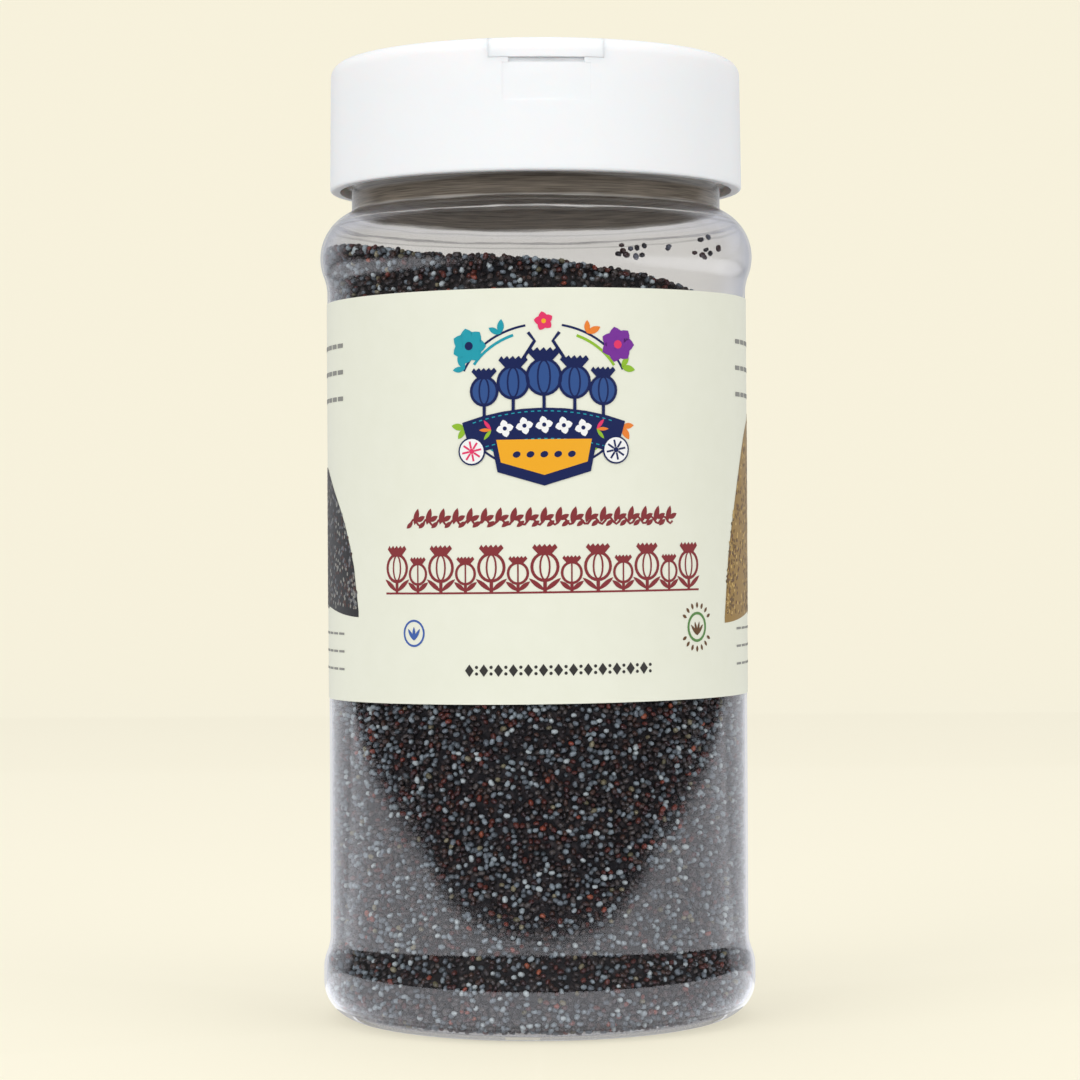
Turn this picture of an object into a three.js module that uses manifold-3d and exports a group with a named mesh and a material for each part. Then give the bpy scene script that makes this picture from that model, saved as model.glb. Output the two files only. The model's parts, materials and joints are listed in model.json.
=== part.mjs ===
// A clear PET spice jar of poppy seed, with a wrap-round paper label and a white two-door flapper cap.
// Millimetres, +Z up. The origin is the centre of the base, and the front of the jar faces -Y.
import * as THREE from "three";
import { mergeVertices } from "three/addons/utils/BufferGeometryUtils.js";
import Module from "manifold-3d";

const wasm = await Module();
wasm.setup();

// ---- driving dimensions ----

// A multiple of 4 keeps a turned surface's four sides at its full radius.
const facets = 60;
const steps = {
  dome: 3,
  corner: 5,
  bead: 2,
  hollow: 2,
  shoulder: 7,
  edge: 5,
  lip: 3,
  hole: 12,
  peg: 10,
  threadTurn: 36,
};
const overlap = 0.5; // how far one piece of a solid runs into the next that it is joined to
const clearance = 1; // how far a cutting body runs past the face that it cuts

const jar = {
  wall: 0.65,
  floor: 1.1,
  pushUp: 2.4, // height of the raised middle of the base
  footInner: 26, // the flat ring that the jar stands on
  footOuter: 29,
  bodyR: 35, // the widest radius, on both beads
  cornerR: 6,
  panelInset: 1.1, // the label panel lies a little behind the beads
  beadZ: 8, // where the lower bead starts to draw in
  beadR: 6.4,
  beadDrawIn: 8.6, // radius of the hollow that leads from the bead to the panel
  shoulderR: 8,
  shoulderZ: 122.7, // height of the shoulder's widest point
  shoulderDrawIn: 8,
  neckR: 29.86,
  neckWall: 0.95,
  neckFillet: 0.3,
  neckBottom: 130.6,
  rimZ: 148.2,
  rimEdge: 0.3,
};

const neckBead = { r: 31.4, bottom: 134.1, top: 136.6, chamfer: 0.7 };

// A single-start right-hand thread. The cap's ridge runs half a pitch below the jar's.
const thread = {
  pitch: 5,
  firstZ: 138.4,
  rootHalf: 1.3,
  crestHalf: 0.5,
  embed: 0.35,
  runout: 3, // steps over which a ridge rises from the wall and sinks back
  blunt: 0.2, // the ridge's height at its very ends, in steps of that rise
  jar: { crestR: 31.2, turns: [0, 1.25] },
  cap: { crestR: 30.5, turns: [0.4, 1.5] },
};

const cap = {
  turnDeg: 3.1, // where the cap stopped when it was screwed down
  bottom: 133.5,
  bottomR: 33.36,
  top: 154.1,
  topR: 33.15,
  edgeR: 2.2, // rounding between the side and the top
  lipR: 0.5, // rounding of the bottom edge
  skirtR: 31.75, // inside of the skirt
  deckBottom: 148.5,
  deckTop: 150,
  wellR: 29.6, // the well that the doors lie in
  barWidth: 8, // the bar across the middle that both doors hinge on
};

const door = {
  gap: 0.3,
  plate: 1.6,
  tabWidth: 17.7,
  tabBottom: 150.9,
  tabRootR: 27.8,
  nailWidth: 11.7, // the fingernail slot under each tab
  ledgeZ: 150.6,
};
const plateBottom = cap.top - door.plate;
const wellWidth = door.tabWidth + 2 * door.gap;

const scoop = { width: 14.3, bottom: 144.3, depth: 0.4 };

// Shaker holes in staggered rows, each plugged by a peg under the front door.
const shaker = {
  holeR: 1.6,
  pitch: 8,
  rows: [
    { y: 10, count: 4 },
    { y: 17, count: 3 },
  ],
  peg: { rootR: 1.3, tipR: 1, tipZ: 149.6 },
};

// A half-round opening for a spoon, plugged by a rib under the back door.
const spoon = { r: 25.5, chordY: 8, rib: { gap: 0.5, wall: 1.2, bottom: 149.4 } };

const paper = { bottom: 52, height: 63.5, gap: 0.05, thickness: 0.12, bareFacets: 3 };

// The seed has settled to a slope, higher on the left.
const seed = { gap: 0.25, topZ: 119.5, slopeDeg: 7.8 };

const panelR = jar.bodyR - jar.panelInset;

// ---- helpers ----

const degrees = THREE.MathUtils.radToDeg;
const radians = THREE.MathUtils.degToRad;
const point = (r, z) => new THREE.Vector2(r, z);

// Points on an arc in the plane of radius and height. Angles are in degrees, 0 pointing away from the axis.
function arc(centreR, centreZ, radius, fromDeg, toDeg, count) {
  return Array.from({ length: count + 1 }, (_, i) => {
    const angle = radians(fromDeg + ((toDeg - fromDeg) * i) / count);
    return point(centreR + radius * Math.cos(angle), centreZ + radius * Math.sin(angle));
  });
}

// A closed geometry as a solid, with its doubled vertices merged and its collapsed faces dropped.
function solidOf(geometry) {
  const bare = new THREE.BufferGeometry();
  bare.setAttribute("position", geometry.getAttribute("position"));
  bare.setIndex(geometry.index);
  const merged = mergeVertices(bare, 1e-4);
  const corners = merged.index.array;
  const faces = [];
  for (let i = 0; i < corners.length; i += 3) {
    const [a, b, c] = corners.slice(i, i + 3);
    if (a !== b && b !== c && c !== a) faces.push(a, b, c);
  }
  const vertProperties = merged.getAttribute("position").array;
  const mesh = new wasm.Mesh({ numProp: 3, vertProperties, triVerts: new Uint32Array(faces) });
  return new wasm.Manifold(mesh);
}

// A profile, listed up its outside and then down its inside, turned about +Z.
function turned(profile, count = facets) {
  return solidOf(new THREE.LatheGeometry(profile, count).rotateX(Math.PI / 2));
}

function cone(bottomR, topR, bottom, top, count = facets) {
  return turned([point(0, bottom), point(bottomR, bottom), point(topR, top), point(0, top)], count);
}

function disc(radius, bottom, top, count = facets) {
  return cone(radius, radius, bottom, top, count);
}

// Two distances from the middle as a range on one side of it: -1 is the front, 1 the back.
function rangeOn(side, near, far) {
  return side > 0 ? [near, far] : [-far, -near];
}

function box([x0, x1], [y0, y1], [z0, z1]) {
  const block = new THREE.BoxGeometry(x1 - x0, y1 - y0, z1 - z0);
  return solidOf(block.translate((x0 + x1) / 2, (y0 + y1) / 2, (z0 + z1) / 2));
}

// What lies beyond a chord of a disc, on one side.
function halfDisc(side, radius, chordY, bottom, top) {
  const reach = radius + clearance;
  const beyond = box([-reach, reach], rangeOn(side, chordY, reach), [bottom - clearance, top + clearance]);
  return disc(radius, bottom, top).intersect(beyond);
}

// A block that reaches from yInner out past the cap, on one side.
function outward(side, width, yInner, zRange) {
  return box([-width / 2, width / 2], rangeOn(side, yInner, cap.bottomR + clearance), zRange);
}

// A thread ridge: a trapezium swept along a helix. Its crest rises from the wall and sinks back at the ends.
function threadRidge(wallR, { crestR, turns: [from, to] }, firstZ) {
  const depth = crestR - wallR;
  const rootR = wallR - Math.sign(depth) * thread.embed;
  const count = Math.round((to - from) * steps.threadTurn);
  const corners = [];
  for (let i = 0; i <= count; i++) {
    const turns = from + ((to - from) * i) / count;
    const fromEnd = Math.min(i, count - i) + thread.blunt;
    const rise = Math.min(1, fromEnd / thread.runout);
    const z = firstZ + turns * thread.pitch;
    for (const [r, dz] of [
      [rootR, -thread.rootHalf],
      [wallR + depth * rise, -thread.crestHalf],
      [wallR + depth * rise, thread.crestHalf],
      [rootR, thread.rootHalf],
    ])
      corners.push(r * Math.cos(turns * 2 * Math.PI), r * Math.sin(turns * 2 * Math.PI), z + dz);
  }
  const faces = [0, 2, 1, 0, 3, 2];
  for (let i = 0; i < 4 * count; i += 4)
    for (let k = 0; k < 4; k++) {
      const [a, b] = [i + k, i + ((k + 1) % 4)];
      faces.push(a, b, a + 4, b, b + 4, a + 4);
    }
  const last = 4 * count;
  faces.push(last, last + 1, last + 2, last, last + 2, last + 3);
  if (depth > 0) faces.reverse();
  const ridge = new THREE.BufferGeometry();
  ridge.setAttribute("position", new THREE.Float32BufferAttribute(corners, 3));
  return solidOf(ridge.setIndex(faces));
}

function place(parent, name, solid, material) {
  const { vertProperties, triVerts } = solid.getMesh();
  const geometry = new THREE.BufferGeometry();
  geometry.setAttribute("position", new THREE.BufferAttribute(vertProperties, 3));
  geometry.setIndex(new THREE.BufferAttribute(triVerts, 1));
  geometry.computeVertexNormals();
  const mesh = new THREE.Mesh(geometry, new THREE.MeshStandardMaterial(material));
  mesh.name = name;
  parent.add(mesh);
}

// ---- jar ----

// How an end of the panel draws in from the widest radius: the angle that the bulge's own arc turns through
// before a hollow arc takes over, and the height over which the two together reach the panel.
function drawIn(bulgeR, hollowR) {
  const angle = Math.acos(1 - jar.panelInset / (bulgeR + hollowR));
  return { deg: degrees(angle), height: (bulgeR + hollowR) * Math.sin(angle) };
}

// The body's outline from the axis to the top of the shoulder, moved in by `inset` and up by `rise`.
function bodyOutline(inset, rise) {
  const domeR = (jar.footInner ** 2 + jar.pushUp ** 2) / (2 * jar.pushUp);
  const domeDeg = degrees(Math.asin(jar.footInner / domeR));
  const cornerR = jar.cornerR - inset;
  const bead = drawIn(jar.beadR, jar.beadDrawIn);
  const shoulder = drawIn(jar.shoulderR, jar.shoulderDrawIn);
  const panelBottom = jar.beadZ + bead.height;
  const panelTop = jar.shoulderZ - shoulder.height;
  const beadHollow = [panelR + jar.beadDrawIn, panelBottom, jar.beadDrawIn + inset];
  const shoulderHollow = [panelR + jar.shoulderDrawIn, panelTop, jar.shoulderDrawIn + inset];
  const shoulderCentre = jar.bodyR - jar.shoulderR;
  const shoulderR = jar.shoulderR - inset;
  const neckR = jar.neckR + jar.neckFillet - inset;
  const neckDeg = degrees(Math.acos((neckR - shoulderCentre) / shoulderR));
  return [
    ...arc(0, rise + jar.pushUp - domeR, domeR, 90, 90 - domeDeg, steps.dome),
    ...arc(jar.footOuter, rise + cornerR, cornerR, -90, 0, steps.corner),
    ...arc(jar.bodyR - jar.beadR, jar.beadZ, jar.beadR - inset, 0, bead.deg, steps.bead),
    ...arc(...beadHollow, 180 + bead.deg, 180, steps.hollow).slice(1),
    ...arc(...shoulderHollow, 180, 180 - shoulder.deg, steps.hollow),
    ...arc(shoulderCentre, jar.shoulderZ, shoulderR, -shoulder.deg, neckDeg, steps.shoulder).slice(1),
  ];
}

function jarSolid() {
  const mouthR = jar.neckR - jar.neckWall;
  const body = turned([
    ...bodyOutline(0, 0),
    point(jar.neckR, jar.neckBottom),
    point(jar.neckR, neckBead.bottom),
    point(neckBead.r, neckBead.bottom + neckBead.chamfer),
    point(neckBead.r, neckBead.top - neckBead.chamfer),
    point(jar.neckR, neckBead.top),
    point(jar.neckR, jar.rimZ - jar.rimEdge),
    point(jar.neckR - jar.rimEdge, jar.rimZ),
    point(mouthR, jar.rimZ),
    point(mouthR, jar.neckBottom),
    ...bodyOutline(jar.wall, jar.floor).reverse(),
  ]);
  return body.add(threadRidge(jar.neckR, thread.jar, thread.firstZ));
}

// ---- seed ----

function seedSolid() {
  const outline = bodyOutline(jar.wall + seed.gap, jar.floor + seed.gap);
  const inside = turned([...outline, point(0, jar.neckBottom)]);
  const reach = 2 * jar.bodyR;
  const above = new THREE.BoxGeometry(2 * reach, 2 * reach, reach).translate(0, 0, reach / 2);
  return inside.subtract(solidOf(above.rotateY(radians(seed.slopeDeg)).translate(0, 0, seed.topZ)));
}

// ---- label ----

// One strip round the panel, its two ends a few facets apart at the back.
function labelSolid() {
  const inner = panelR + paper.gap;
  const outer = inner + paper.thickness;
  const ring = turned([
    point(inner, paper.bottom),
    point(outer, paper.bottom),
    point(outer, paper.bottom + paper.height),
    point(inner, paper.bottom + paper.height),
    point(inner, paper.bottom),
  ]);
  const bareWidth = 2 * outer * Math.sin((paper.bareFacets * Math.PI) / facets);
  const span = [paper.bottom - clearance, paper.bottom + paper.height + clearance];
  return ring.subtract(box([-bareWidth / 2, bareWidth / 2], [0, outer + clearance], span));
}

// ---- cap ----

// The outside of the closed cap, filled in down to its bottom edge.
function capEnvelope() {
  return turned([
    point(0, cap.bottom),
    ...arc(cap.bottomR - cap.lipR, cap.bottom + cap.lipR, cap.lipR, -90, 0, steps.lip),
    ...arc(cap.topR - cap.edgeR, cap.top - cap.edgeR, cap.edgeR, 0, 90, steps.edge),
    point(0, cap.top),
  ]);
}

function shakerPlaces() {
  return shaker.rows.flatMap(({ y, count }) =>
    Array.from({ length: count }, (_, i) => [(i - (count - 1) / 2) * shaker.pitch, -y]),
  );
}

// The gap in the cap's edge for a door's tab, with the fingernail slot and the thumb scoop under it.
function notch(side) {
  const clearTop = cap.top + clearance;
  const below = scoop.bottom - clearance;
  const tabWell = outward(side, wellWidth, door.tabRootR, [door.ledgeZ, clearTop]);
  const nailSlot = outward(side, door.nailWidth, door.tabRootR, [cap.deckTop, clearTop]);
  const thumb = outward(side, scoop.width, cap.skirtR, [scoop.bottom, cap.deckTop]);
  const sideAt = (z) => cap.bottomR + ((cap.topR - cap.bottomR) * (z - cap.bottom)) / (cap.top - cap.bottom);
  const scoopFloor = cone(sideAt(below) - scoop.depth, sideAt(clearTop) - scoop.depth, below, clearTop);
  return tabWell.add(nailSlot).add(thumb.subtract(scoopFloor));
}

function capSolid() {
  const below = cap.deckBottom - clearance;
  const above = cap.deckTop + clearance;
  const reach = cap.wellR + overlap;
  const half = cap.barWidth / 2;
  const bar = box([-reach, reach], [-half, half], [cap.deckTop - overlap, cap.top]);
  const hole = disc(shaker.holeR, below, above, steps.hole);
  let body = capEnvelope()
    .subtract(disc(cap.skirtR, cap.bottom - clearance, cap.deckBottom))
    .subtract(disc(cap.wellR, cap.deckTop, cap.top + clearance))
    .add(bar)
    .add(threadRidge(cap.skirtR, thread.cap, thread.firstZ - thread.pitch / 2));
  for (const side of [-1, 1]) body = body.subtract(notch(side));
  for (const [x, y] of shakerPlaces()) body = body.subtract(hole.translate(x, y, 0));
  return body.subtract(halfDisc(1, spoon.r, spoon.chordY, below, above));
}

// ---- doors ----

// A half-round plate flush with the cap's top, with a tab that fills the notch in the cap's edge.
function doorSolid(side) {
  const plate = halfDisc(side, cap.wellR - door.gap, cap.barWidth / 2 + door.gap, plateBottom, cap.top);
  const tab = capEnvelope()
    .intersect(outward(side, door.tabWidth, 0, [door.tabBottom, cap.top + clearance]))
    .subtract(disc(door.tabRootR, cap.bottom, cap.top + clearance));
  return plate.add(tab);
}

function shakeDoorSolid() {
  const { rootR, tipR, tipZ } = shaker.peg;
  const peg = cone(tipR, rootR, tipZ, plateBottom + overlap, steps.peg);
  return shakerPlaces().reduce((made, [x, y]) => made.add(peg.translate(x, y, 0)), doorSolid(-1));
}

function spoonDoorSolid() {
  const { gap, wall, bottom } = spoon.rib;
  const inset = gap + wall;
  const outer = halfDisc(1, spoon.r - gap, spoon.chordY + gap, bottom, plateBottom + overlap);
  const inner = halfDisc(1, spoon.r - inset, spoon.chordY + inset, bottom - clearance, plateBottom);
  return doorSolid(1).add(outer.subtract(inner));
}

// ---- assembly ----

const pet = { color: 0xe9edf0, roughness: 0.06, metalness: 0, transparent: true, opacity: 0.28 };
const polypropylene = { color: 0xf7f7fa, roughness: 0.38, metalness: 0 };
const labelPaper = { color: 0xf0efe0, roughness: 0.55, metalness: 0 };
const poppySeed = { color: 0x2f2d33, roughness: 0.8, metalness: 0 };

const part = new THREE.Group();
place(part, "jar", jarSolid(), pet);
place(part, "poppy_seed_fill", seedSolid(), poppySeed);
place(part, "label", labelSolid(), labelPaper);

const closure = new THREE.Group();
closure.rotation.z = radians(cap.turnDeg);
part.add(closure);
place(closure, "cap_body", capSolid(), polypropylene);
place(closure, "shake_door", shakeDoorSolid(), polypropylene);
place(closure, "spoon_door", spoonDoorSolid(), polypropylene);

export default part;
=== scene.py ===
import json
import math
import random
from functools import partial

import bmesh
import bpy
from mathutils import Matrix, Vector

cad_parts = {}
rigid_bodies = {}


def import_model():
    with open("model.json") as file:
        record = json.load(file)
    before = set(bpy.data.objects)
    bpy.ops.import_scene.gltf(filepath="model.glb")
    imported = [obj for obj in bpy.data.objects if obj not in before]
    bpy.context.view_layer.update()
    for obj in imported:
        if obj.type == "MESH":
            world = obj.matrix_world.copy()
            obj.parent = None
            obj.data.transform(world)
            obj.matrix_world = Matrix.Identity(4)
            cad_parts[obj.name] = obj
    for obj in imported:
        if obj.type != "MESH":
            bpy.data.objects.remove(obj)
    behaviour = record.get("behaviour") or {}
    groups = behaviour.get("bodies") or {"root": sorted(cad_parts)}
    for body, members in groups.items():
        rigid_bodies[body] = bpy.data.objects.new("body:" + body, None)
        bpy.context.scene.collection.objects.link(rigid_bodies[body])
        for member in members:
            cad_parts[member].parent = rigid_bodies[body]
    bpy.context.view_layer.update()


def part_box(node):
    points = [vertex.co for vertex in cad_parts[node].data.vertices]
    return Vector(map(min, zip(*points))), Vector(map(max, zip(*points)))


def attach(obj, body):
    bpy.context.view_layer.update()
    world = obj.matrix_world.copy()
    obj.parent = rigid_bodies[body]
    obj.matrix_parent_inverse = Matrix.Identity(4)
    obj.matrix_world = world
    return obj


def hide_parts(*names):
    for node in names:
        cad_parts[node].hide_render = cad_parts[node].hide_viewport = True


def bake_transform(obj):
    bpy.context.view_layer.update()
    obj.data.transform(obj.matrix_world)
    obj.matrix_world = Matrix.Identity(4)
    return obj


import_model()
mm = 0.001

# A clear PET spice jar of poppy seed with a paper wrap label and a white flapper cap.
# The jar's axis is Z, its foot stands on z = 0, and its front faces -Y.


def inMetres(**sizes):
    return {name: size * mm for name, size in sizes.items()}


def linear(code):
    channels = [int(code[i:i + 2], 16) / 255 for i in (1, 3, 5)]
    return [c / 12.92 if c < 0.04045 else ((c + 0.055) / 1.055) ** 2.4 for c in channels] + [1]


def addNode(tree, kind, feeds=None, **settings):
    node = tree.nodes.new(kind)
    for name, value in settings.items():
        setattr(node, name, value)
    return fed(node, feeds or {})


def fed(node, feeds):
    # feeds maps an input's name or number to a value, to an output, or to a node for its first output
    for name, value in feeds.items():
        if isinstance(value, bpy.types.Node):
            value = next(socket for socket in value.outputs if socket.enabled)
        if isinstance(value, bpy.types.NodeSocket):
            node.id_data.links.new(value, node.inputs[name])
        else:
            node.inputs[name].default_value = value
    return node


def newMaterial(name, values=None):
    # Returns the material, what adds a node to it, and its shader
    material = bpy.data.materials.new(name)
    material.use_nodes = True
    tree = material.node_tree
    return material, partial(addNode, tree), fed(tree.nodes["Principled BSDF"], values or {})


def bareMaterial(name):
    # One that is built up from nothing, and the node that its surface goes into
    material, add, shader = newMaterial(name)
    material.node_tree.nodes.remove(shader)
    return material, add, material.node_tree.nodes["Material Output"]


def newTree(name, inputs):
    # inputs maps each named input to its kind; geometry always goes in and out. Returns the tree, what adds
    # a node to it, and its inputs.
    tree = bpy.data.node_groups.new(name, "GeometryNodeTree")
    tree.interface.new_socket(name="Geometry", in_out="INPUT", socket_type="NodeSocketGeometry")
    for label, kind in inputs.items():
        tree.interface.new_socket(name=label, in_out="INPUT", socket_type="NodeSocket" + kind)
    tree.interface.new_socket(name="Geometry", in_out="OUTPUT", socket_type="NodeSocketGeometry")
    return tree, partial(addNode, tree), addNode(tree, "NodeGroupInput").outputs


def endTree(tree, geometry, material):
    real = addNode(tree, "GeometryNodeRealizeInstances", {"Geometry": geometry})
    coated = addNode(tree, "GeometryNodeSetMaterial", {"Geometry": real, "Material": material})
    addNode(tree, "NodeGroupOutput", {"Geometry": coated})
    return tree


def addObject(name, mesh, material=None, smooth=True):
    mesh.name = name
    piece = bpy.data.objects.new(name, mesh)
    bpy.context.scene.collection.objects.link(piece)
    if material:
        mesh.materials.append(material)
    mesh.shade_smooth() if smooth else mesh.shade_flat()
    return piece


def meshOf(verts, faces=()):
    mesh = bpy.data.meshes.new("mesh")
    mesh.from_pydata([tuple(v) for v in verts], [], faces)
    mesh.validate()
    return mesh


def gridFaces(rows, columns):
    # Faces over points that are listed row by row
    wide = columns + 1
    return [(i * wide + j, i * wide + j + 1, (i + 1) * wide + j + 1, (i + 1) * wide + j)
            for i in range(rows) for j in range(columns)]


def barMesh(sections):
    # A closed bar through a list of four-cornered sections
    verts = [corner for section in sections for corner in section]
    last = len(verts) - 4
    faces = [(a + k, a + 4 + k, a + 4 + (k + 1) % 4, a + (k + 1) % 4)
             for a in range(0, last, 4) for k in range(4)]
    return meshOf(verts, faces + [(0, 1, 2, 3), (last + 3, last + 2, last + 1, last)])


def arc(centreR, centreZ, radius, fromDeg, toDeg, steps):
    angles = [math.radians(fromDeg + (toDeg - fromDeg) * i / steps) for i in range(steps + 1)]
    return [(centreR + radius * math.cos(a), centreZ + radius * math.sin(a)) for a in angles]


def revolved(outline, segments):
    # outline is (radius, height), listed up the outside and down the inside; a flat end is one face
    closed = outline[0] == outline[-1]
    flatStart, flatEnd = [not closed and outline[i][0] == 0 and outline[i][1] == outline[j][1]
                          for i, j in ((0, 1), (-1, -2))]
    verts, rings, faces = [], [], []
    for r, z in outline[1 if flatStart else 0:-1 if closed or flatEnd else None]:
        # A point on the axis is one corner that its whole ring shares
        count = segments if r > 1e-7 else 1
        rings.append([len(verts) + j % count for j in range(segments + 1)])
        turns = [2 * math.pi * j / segments for j in range(count)]
        verts += [(r * math.cos(a), r * math.sin(a), z) for a in turns]
    for low, high in list(zip(rings, rings[1:])) + ([(rings[-1], rings[0])] if closed else []):
        faces += [tuple(dict.fromkeys((low[j], low[j + 1], high[j + 1], high[j]))) for j in range(segments)]
    if flatStart:
        faces.append(tuple(reversed(rings[0][:-1])))
    if flatEnd:
        faces.append(tuple(rings[-1][:-1]))
    return meshOf(verts, faces)


def evaluated(piece):
    return bpy.data.meshes.new_from_object(piece.evaluated_get(bpy.context.evaluated_depsgraph_get()))


def grown(name, source, tree, values):
    # Runs a node tree on an object and returns the result as a plain object of its own
    modifier = source.modifiers.new(tree.name, "NODES")
    modifier.node_group = tree
    for item in tree.interface.items_tree:
        if item.item_type == "SOCKET" and item.in_out == "INPUT" and item.name in values:
            modifier[item.identifier] = values[item.name]
    source.update_tag()
    mesh = evaluated(source)
    source.modifiers.remove(modifier)
    return addObject(name, mesh)


cameraSet = {"place": (0.0004, -0.533, 0.0773), "lens": 109.2, "pitchDeg": -0.03, "rollDeg": -0.31}


def makeCamera():
    data = bpy.data.cameras.new("camera")
    data.lens = cameraSet["lens"]
    data.sensor_width = 36
    data.clip_start, data.clip_end = 0.01, 20
    camera = bpy.data.objects.new("camera", data)
    bpy.context.scene.collection.objects.link(camera)
    level = Matrix.Rotation(math.radians(90 + cameraSet["pitchDeg"]), 4, "X")
    roll = Matrix.Rotation(math.radians(cameraSet["rollDeg"]), 4, "Z")
    camera.matrix_world = Matrix.Translation(cameraSet["place"]) @ level @ roll
    bpy.context.scene.camera = camera


makeCamera()
print("camera set")


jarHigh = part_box("jar")[1]

jar = inMetres(
    wall=0.38, floor=0.6, pushUp=2.4, footInner=26, footOuter=29,
    cornerR=6, beadZ=8, beadR=6.4, beadDrawIn=8.6,
    panelInset=1.1, panelEdge=1, shoulderR=8, shoulderZ=122.7, shoulderDrawIn=8,
    neckR=29.86, neckWall=0.95, neckFillet=0.3, neckBottom=130.6,
    collarR=31.4, collarBottom=134.1, collarTop=136.6, collarEdge=0.7, rimEdge=0.3,
)
jar.update(bodyR=jarHigh.x, rimZ=jarHigh.z, panelR=jarHigh.x - jar["panelInset"], segments=240, domeSteps=12)


def bodyOutline(inset, rise):
    # From the axis up to the top of the shoulder, moved in by inset and up by rise
    domeR = (jar["footInner"] ** 2 + jar["pushUp"] ** 2) / (2 * jar["pushUp"])
    domeDeg = math.degrees(math.asin(jar["footInner"] / domeR))
    dome = arc(0, rise + jar["pushUp"] - domeR, domeR, 90, 90 - domeDeg, jar["domeSteps"])
    dome[0] = (0, dome[0][1])
    cornerR = jar["cornerR"] - inset
    panelR = jar["panelR"] - inset

    # Both bulges draw in on their own arc, then on a hollow one that ends flush with the panel
    beadR, beadHollow = jar["beadR"], jar["beadDrawIn"]
    beadDeg = math.degrees(math.acos(1 - jar["panelInset"] / (beadR + beadHollow)))
    panelFoot = jar["beadZ"] + (beadR + beadHollow) * math.sin(math.radians(beadDeg))
    shoulderR, shoulderHollow = jar["shoulderR"], jar["shoulderDrawIn"]
    shoulderDeg = math.degrees(math.acos(1 - jar["panelInset"] / (shoulderR + shoulderHollow)))
    panelTop = jar["shoulderZ"] - (shoulderR + shoulderHollow) * math.sin(math.radians(shoulderDeg))
    shoulderCentre = jar["bodyR"] - shoulderR
    neckR = jar["neckR"] + jar["neckFillet"] - inset
    neckDeg = math.degrees(math.acos((neckR - shoulderCentre) / (shoulderR - inset)))
    return [
        *dome,
        *arc(jar["footOuter"], rise + cornerR, cornerR, -90, 0, 16),
        *arc(jar["bodyR"] - beadR, jar["beadZ"], beadR - inset, 0, beadDeg, 10),
        *arc(jar["panelR"] + beadHollow, panelFoot, beadHollow + inset, 180 + beadDeg, 180, 10)[1:],
        (panelR, panelFoot + jar["panelEdge"]),
        (panelR, (panelFoot + panelTop) / 2),
        (panelR, panelTop - jar["panelEdge"]),
        *arc(jar["panelR"] + shoulderHollow, panelTop, shoulderHollow + inset, 180, 180 - shoulderDeg, 10),
        *arc(shoulderCentre, jar["shoulderZ"], shoulderR - inset, -shoulderDeg, neckDeg, 30)[1:],
    ]


def makeJar():
    mouthR = jar["neckR"] - jar["neckWall"]
    outline = [
        *bodyOutline(0, 0),
        (jar["neckR"], jar["neckBottom"]),
        (jar["neckR"], jar["collarBottom"]),
        (jar["collarR"], jar["collarBottom"] + jar["collarEdge"]),
        (jar["collarR"], jar["collarTop"] - jar["collarEdge"]),
        (jar["neckR"], jar["collarTop"]),
        (jar["neckR"], jar["rimZ"] - jar["rimEdge"]),
        (jar["neckR"] - jar["rimEdge"], jar["rimZ"]),
        (mouthR, jar["rimZ"]),
        (mouthR, jar["neckBottom"]),
        *reversed(bodyOutline(jar["wall"], jar["floor"])),
    ]
    piece = addObject("jar_wall", revolved(outline, jar["segments"]), clearPet())
    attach(piece, "jar")
    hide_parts("jar")


# Painted shade and painted highlights on the PET's neck and the shoulder below it, by height in mm: how much,
# # and in which colour. The brown is painted shade for the shaded inside of the cap seen through the neck;
# # the dark lines are painted shade and the pale rings are painted highlights.
neckPaintedShadeAndHighlights = [
    (127.2, 0.0, "#4A443D"), (127.3, 0.13, "#2A2622"), (127.5, 0.13, "#2A2622"), (127.6, 0.02, "#CFC9C0"),
    (128.0, 0.04, "#CFC9C0"), (128.1, 0.55, "#F6F4F0"), (128.25, 0.55, "#F6F4F0"), (128.35, 0.04, "#CFC9C0"),
    (129.2, 0.04, "#CFC9C0"), (129.35, 0.2, "#E8E4DC"), (129.5, 0.04, "#CFC9C0"), (129.95, 0.06, "#CFC9C0"),
    (130.1, 0.55, "#F2EFEA"), (130.3, 0.6, "#CFC9C0"), (130.5, 0.85, "#8F8578"),
    (132.7, 0.85, "#958B7E"), (133.3, 0.85, "#6E675E"), (133.8, 0.8, "#A69F94"), (134.1, 0.8, "#DDD8CF"),
    (134.6, 0.8, "#ACA499"), (135.7, 0.8, "#ACA499"), (136.0, 0.8, "#E6E1D9"), (136.6, 0.8, "#ACA499"),
    (139.0, 0.6, "#A39B8F"), (148.2, 0.3, "#A69C8F"),
]


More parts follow.
